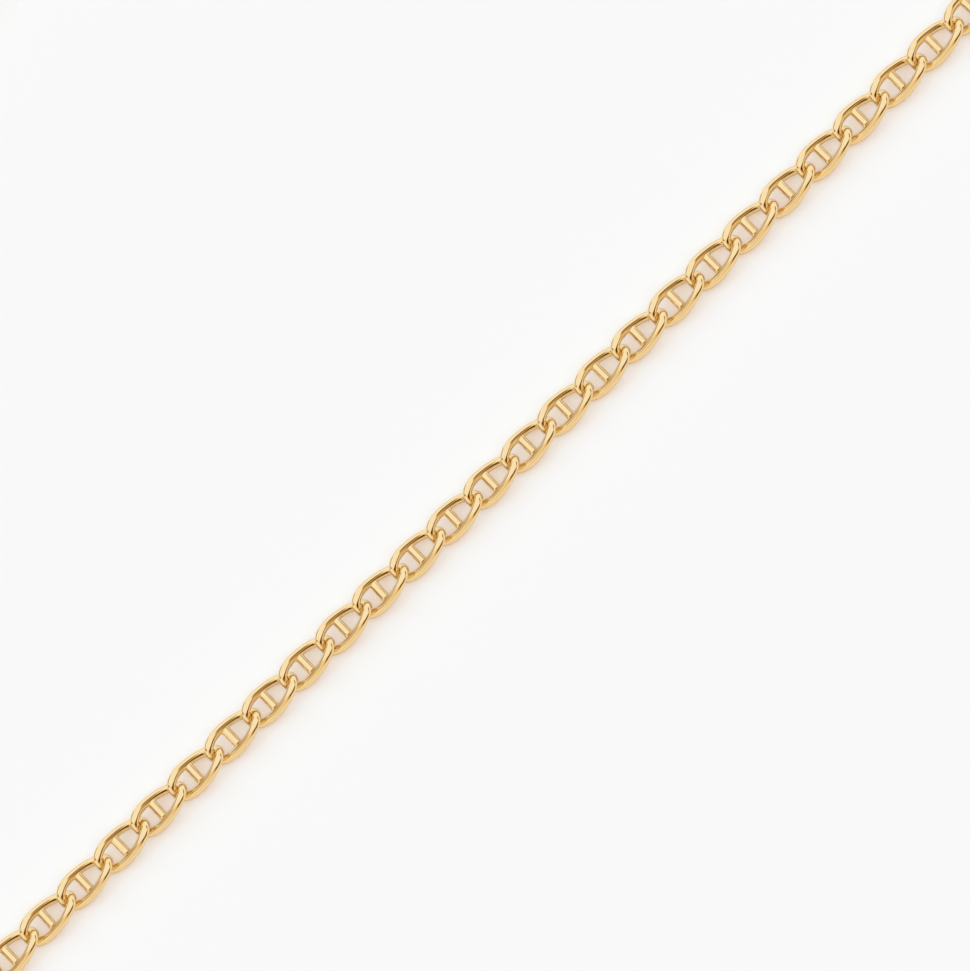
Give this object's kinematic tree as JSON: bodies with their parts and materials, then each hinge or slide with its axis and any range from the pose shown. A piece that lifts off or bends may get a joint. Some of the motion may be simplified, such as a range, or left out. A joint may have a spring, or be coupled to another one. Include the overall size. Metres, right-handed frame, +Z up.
{
  "type": "mariner link chain necklace",
  "caption": "Gold mariner link necklace laid flat in a closed loop, its oval links each with a stud across, with a lobster clasp and two plain rings.",
  "frame": {"origin": "middle of the closed loop's box, on the surface that it lies on", "axes": "+X along the straight front of the loop, to the wearer's left as the chain runs from the claw to the eye; +Y from the front to the clasp at the back; +Z up from the surface"},
  "size_m": [0.1913, 0.088, 0.003],
  "materials": {
    "link_gold": "polished yellow gold plating",
    "clasp_gold": "polished yellow gold plating",
    "ring_gold": "polished yellow gold plating"
  },
  "bodies": {
    "root": {"left_chain": "link_gold", "right_chain": "link_gold", "clasp": "clasp_gold", "clasp_ring": "ring_gold", "end_ring": "ring_gold"}
  },
  "joints": []
}
